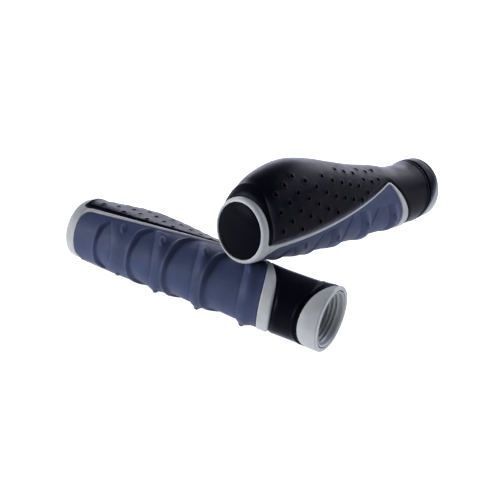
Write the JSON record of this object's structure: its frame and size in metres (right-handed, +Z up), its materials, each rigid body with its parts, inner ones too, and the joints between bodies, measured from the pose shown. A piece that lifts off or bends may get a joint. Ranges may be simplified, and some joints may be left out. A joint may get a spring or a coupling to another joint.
{
  "type": "handlebar grips",
  "caption": "Ergonomic bicycle handlebar grips with a dimpled palm swell, a scooped finger pad, raised piping and plugged closed outer ends, lying crossed on a surface.",
  "frame": {"origin": "on the surface that the pair lies on, under the middle of the pair's bounding box", "axes": "+Z up, +X along the lying grip from its plugged end to its mouth as seen from above, +Y towards the leaning grip's mouth"},
  "size_m": [0.1294, 0.1388, 0.0622],
  "materials": {
    "light_gray_rubber": "satin light gray soft rubber",
    "sleeve_plastic": "satin light gray moulded plastic",
    "black_rubber": "dimpled black soft rubber with a faint violet sheen",
    "blue_rubber": "matte blue-gray soft rubber with moulded finger scoops",
    "plug_plastic": "gloss black moulded plastic",
    "soft_filler": "plain soft filler, hidden"
  },
  "bodies": {
    "lying_grip": {"lying_inner_sleeve": "sleeve_plastic", "lying_end_ring": "light_gray_rubber", "lying_palm_pad": "black_rubber", "lying_palm_cushion": "soft_filler", "lying_finger_pad": "blue_rubber", "lying_piping_loop": "light_gray_rubber", "lying_mouth_ring": "light_gray_rubber"},
    "lying_plug": {"lying_end_plug": "plug_plastic"},
    "leaning_grip": {"leaning_inner_sleeve": "sleeve_plastic", "leaning_end_ring": "light_gray_rubber", "leaning_palm_pad": "black_rubber", "leaning_palm_cushion": "soft_filler", "leaning_finger_pad": "blue_rubber", "leaning_piping_loop": "light_gray_rubber", "leaning_mouth_ring": "light_gray_rubber"},
    "leaning_plug": {"leaning_end_plug": "plug_plastic"}
  },
  "joints": [
    {"name": "lying_plug_pull", "type": "slide", "parent": "lying_grip", "child": "lying_plug", "axis": [-0.9998, 0, 0.0216], "range_m": [0, 0.03]},
    {"name": "leaning_lift", "type": "slide", "parent": "lying_grip", "child": "leaning_grip", "axis": [0, 0, 1], "range_m": [0, 0.08]},
    {"name": "leaning_plug_pull", "type": "slide", "parent": "leaning_grip", "child": "leaning_plug", "axis": [-0.2267, -0.9441, 0.2392], "range_m": [0, 0.03]}
  ]
}
